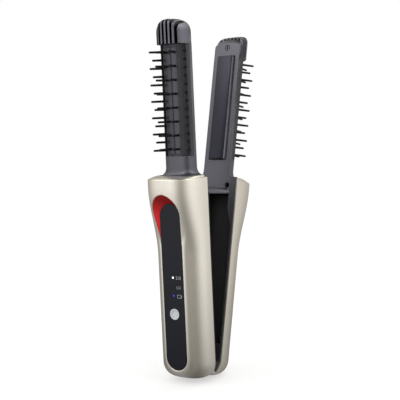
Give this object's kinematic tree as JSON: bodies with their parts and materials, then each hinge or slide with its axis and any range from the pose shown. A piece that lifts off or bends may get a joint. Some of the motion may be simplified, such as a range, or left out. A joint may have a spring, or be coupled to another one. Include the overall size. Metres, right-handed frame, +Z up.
{
  "type": "hair volumizing iron",
  "caption": "Cordless two-armed hair volumizing iron: sprung V-shaped handles with a brush barrel, pin bristles and a floating heated plate on each arm.",
  "frame": {"origin": "on the flat bottom of the main handle, on the centre plane, 2 mm in from its mating edge", "axes": "+Z up along the main arm, -Y out of the control panel, +X along the hinge axis, to the right of someone facing the panel"},
  "size_m": [0.04, 0.1113, 0.263],
  "materials": {
    "champagne_shell": "satin metallic lacquer",
    "red_lining": "glossy",
    "navy_panel": "glossy",
    "graphite_plastic": "satin",
    "black_plastic": "satin",
    "bristle_nylon": "satin",
    "coated_plate": "ceramic coated, satin",
    "carrier_plastic": "heat resistant, satin",
    "heater_ceramic": "ceramic",
    "steel": "plain",
    "cell_wrap": "shrink wrapped",
    "board_green": "solder mask",
    "button_grey": "satin",
    "light_clear": "translucent"
  },
  "bodies": {
    "main_arm": {"main_housing": "champagne_shell", "thumb_scoop": "red_lining", "control_panel": "navy_panel", "main_inner_cover": "black_plastic", "main_frame": "graphite_plastic", "main_barrel_cover": "graphite_plastic", "main_centre_bristles": "bristle_nylon", "main_left_bristles": "bristle_nylon", "main_right_bristles": "bristle_nylon", "main_tip_cap": "graphite_plastic", "main_plate_springs": "steel", "thermal_cutout": "steel", "battery_cells": "cell_wrap", "circuit_board": "board_green", "tact_switch": "steel", "indicator_lights": "light_clear", "charging_socket": "steel", "main_screws": "steel", "hinge_pin": "steel", "hinge_spring": "steel"},
    "lever_arm": {"lever_housing": "champagne_shell", "lever_frame": "graphite_plastic", "lever_liner": "black_plastic", "lever_barrel_cover": "graphite_plastic", "lever_centre_bristles": "bristle_nylon", "lever_left_bristles": "bristle_nylon", "lever_right_bristles": "bristle_nylon", "lever_tip_cap": "graphite_plastic", "lever_plate_springs": "steel", "lever_screws": "steel"},
    "main_plate": {"main_heater_plate": "coated_plate", "main_plate_carrier": "carrier_plastic", "main_heater": "heater_ceramic"},
    "lever_plate": {"lever_heater_plate": "coated_plate", "lever_plate_carrier": "carrier_plastic", "lever_heater": "heater_ceramic"},
    "power_button": {"power_button": "button_grey"}
  },
  "joints": [
    {"name": "lever_hinge", "type": "hinge", "parent": "main_arm", "child": "lever_arm", "pos_m": [0, 0.0052, 0.0058], "axis": [1, 0, 0], "range_deg": [0, 13.8], "stiffness_Nm_per_rad": 0.6, "springref_deg": -34.38, "deforming": ["hinge_spring"]},
    {"name": "main_plate_float", "type": "slide", "parent": "main_arm", "child": "main_plate", "axis": [0, -1, 0], "range_m": [0, 0.0008], "stiffness_N_per_m": 800, "springref_m": -0.002, "deforming": ["main_plate_springs"]},
    {"name": "lever_plate_float", "type": "slide", "parent": "lever_arm", "child": "lever_plate", "axis": [0, 0.9711, -0.2385], "range_m": [0, 0.0008], "stiffness_N_per_m": 800, "springref_m": -0.002, "deforming": ["lever_plate_springs"]},
    {"name": "power_button_press", "type": "slide", "parent": "main_arm", "child": "power_button", "axis": [0, 1, 0], "range_m": [0, 0.0006], "stiffness_N_per_m": 800, "springref_m": -0.0015}
  ]
}
